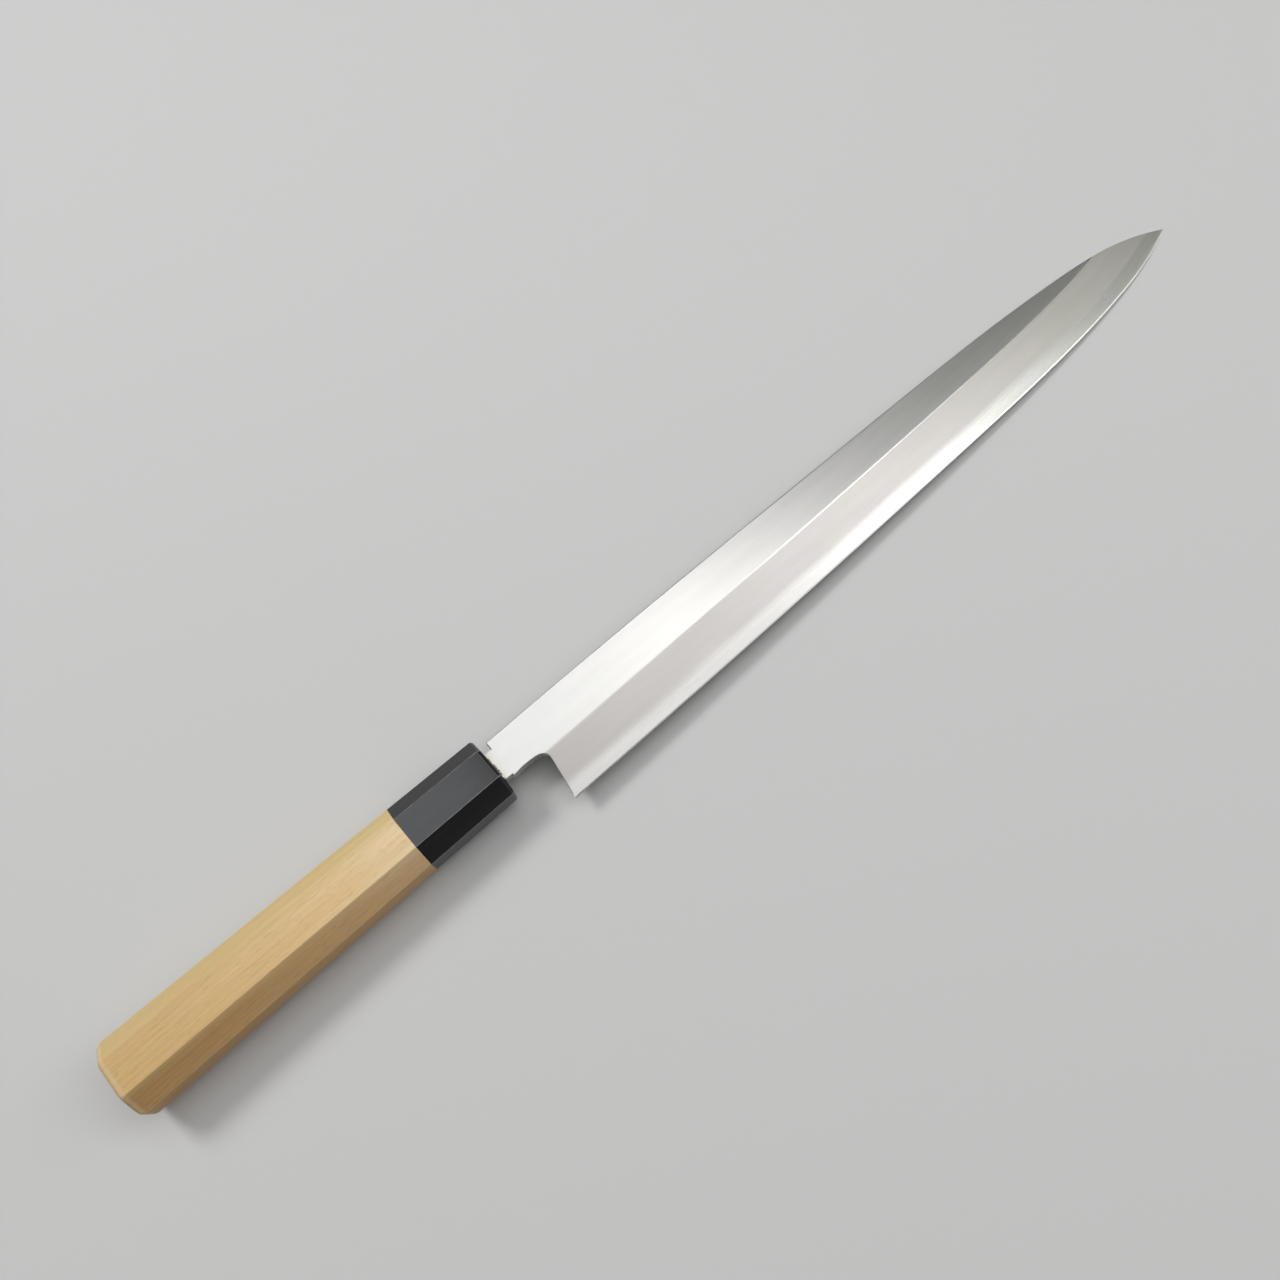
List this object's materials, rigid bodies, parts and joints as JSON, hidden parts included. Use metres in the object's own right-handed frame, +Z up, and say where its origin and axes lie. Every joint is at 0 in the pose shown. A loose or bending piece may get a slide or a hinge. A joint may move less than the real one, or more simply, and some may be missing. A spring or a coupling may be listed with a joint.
{
  "type": "yanagiba knife",
  "caption": "Long slender slicing knife, bevelled on one face and hollow on the other, with a laminated steel blade, an octagonal wooden handle and a black horn ferrule.",
  "frame": {"origin": "on the table, under the middle of the knife's box as it rests on its back", "axes": "+X from the handle to the tip, +Y towards the spine, +Z up, out of the bevelled face"},
  "size_m": [0.4554, 0.037, 0.0246],
  "materials": {
    "soft_iron": "satin, ground lengthwise",
    "hard_steel": "fine polish",
    "horn": "polished black",
    "magnolia": "bare, fine sanded",
    "resin": "matt, burnt brown"
  },
  "bodies": {
    "root": {"blade_iron": "soft_iron", "blade_edge_steel": "hard_steel", "ferrule": "horn", "grip": "magnolia", "tang_bedding": "resin"}
  },
  "joints": []
}
